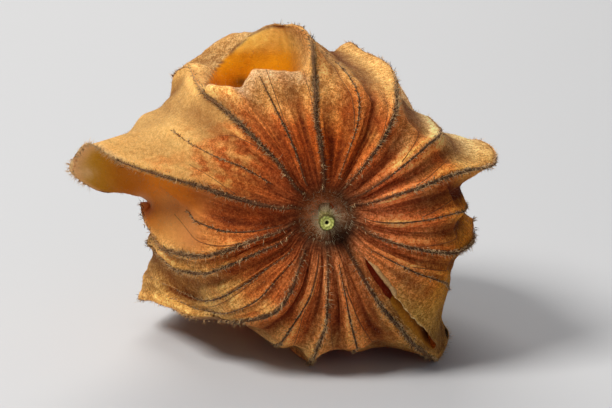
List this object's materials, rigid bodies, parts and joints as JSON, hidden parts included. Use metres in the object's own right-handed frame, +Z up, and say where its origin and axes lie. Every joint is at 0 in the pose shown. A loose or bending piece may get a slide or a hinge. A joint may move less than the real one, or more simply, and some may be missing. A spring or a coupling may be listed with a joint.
{
  "type": "physalis berry",
  "caption": "Dried physalis fruit lying on its side: a crumpled papery husk with ribs and winged keels, a short cut stem, and a berry inside.",
  "frame": {"origin": "middle of the footprint on the resting surface", "axes": "+Z up as it lies on its side, the cut stem towards -Y, the husk's tip towards +Y"},
  "size_m": [0.0416, 0.0402, 0.0335],
  "materials": {
    "husk_paper": "matte, mottled, finely haired",
    "stem_wood": "matte, haired",
    "berry_skin": "smooth, slightly glossy"
  },
  "bodies": {
    "root": {"husk": "husk_paper", "stem": "stem_wood", "berry": "berry_skin"}
  },
  "joints": []
}
